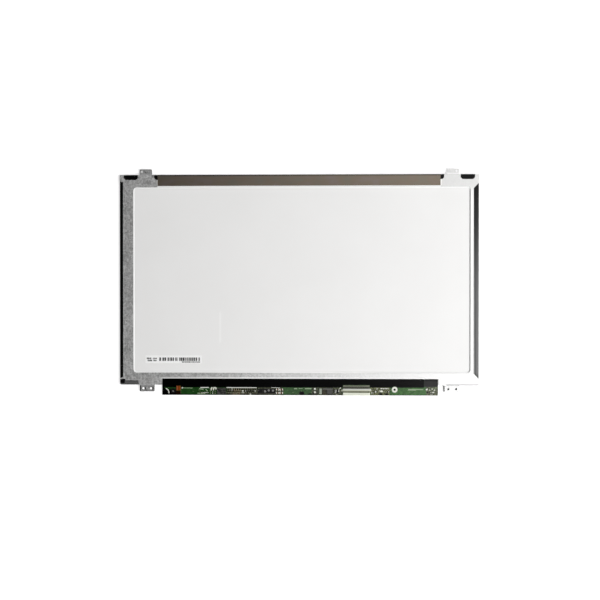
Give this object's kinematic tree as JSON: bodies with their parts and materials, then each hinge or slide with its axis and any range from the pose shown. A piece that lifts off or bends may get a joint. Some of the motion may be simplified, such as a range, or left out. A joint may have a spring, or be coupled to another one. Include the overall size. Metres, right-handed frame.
{
  "type": "laptop screen panel",
  "caption": "Slim laptop display panel with an edge-lit back light, a folded steel back frame with screw ears, and a control board with its cable socket along the bottom edge.",
  "frame": {"origin": "under the middle of the outline, on the plane of the display face", "axes": "+X across the panel, to the right as seen from its back with the board below; +Y up the panel; +Z out of its back"},
  "size_m": [0.3594, 0.2264, 0.0033],
  "materials": {
    "polarizer": "smooth hard-coated film",
    "display_glass": "polished",
    "chip_black": "fine moulded",
    "amber_film": "smooth film",
    "black_tape": "satin film",
    "black_plastic": "fine moulded",
    "clear_film": "micro-ribbed film",
    "milky_film": "milky film",
    "clear_acrylic": "polished",
    "white_film": "satin white film",
    "black_film": "satin film",
    "lamp_white": "moulded",
    "galvanised_steel": "zinc coat with a fine spangle",
    "satin_tape": "satin film",
    "label_paper": "smooth label",
    "solder_mask": "glossy solder mask",
    "connector_plastic": "moulded",
    "tinned_metal": "bright tin plate",
    "contact_metal": "thin gold plate",
    "ferrite": "ground ferrite",
    "orange_moulding": "moulded",
    "brown_moulding": "moulded",
    "white_ceramic": "fired",
    "tan_ceramic": "fired, tinned ends",
    "resistor_black": "fired, tinned ends"
  },
  "bodies": {
    "root": {"back_chassis": "galvanised_steel", "board_cover_tape": "black_tape", "board_flex_films": "amber_film", "board_fuse": "white_ceramic", "boost_inductor": "ferrite", "ceramic_capacitors": "tan_ceramic", "chip_resistors": "resistor_black", "colour_filter_glass": "display_glass", "connector_contacts": "contact_metal", "connector_housing": "connector_plastic", "connector_shell": "tinned_metal", "control_board": "solder_mask", "diffuser_sheet": "milky_film", "filter_capacitors": "tan_ceramic", "flash_memory_chip": "chip_black", "front_border_tape": "black_tape", "front_polarizer": "polarizer", "led_driver_chip": "chip_black", "led_packages": "lamp_white", "led_strip_board": "black_film", "level_shifter_chip": "chip_black", "light_guide_plate": "clear_acrylic", "mould_frame": "black_plastic", "output_capacitor": "brown_moulding", "power_inductor": "ferrite", "prism_sheet_lower": "clear_film", "prism_sheet_upper": "clear_film", "rear_polarizer": "polarizer", "reflector_sheet": "white_film", "rim_tape": "black_tape", "serial_label": "label_paper", "signal_diodes": "chip_black", "source_driver_chips": "chip_black", "tantalum_capacitor": "orange_moulding", "tft_array_glass": "display_glass", "timing_controller_chip": "chip_black", "top_edge_tape": "satin_tape"}
  },
  "joints": []
}
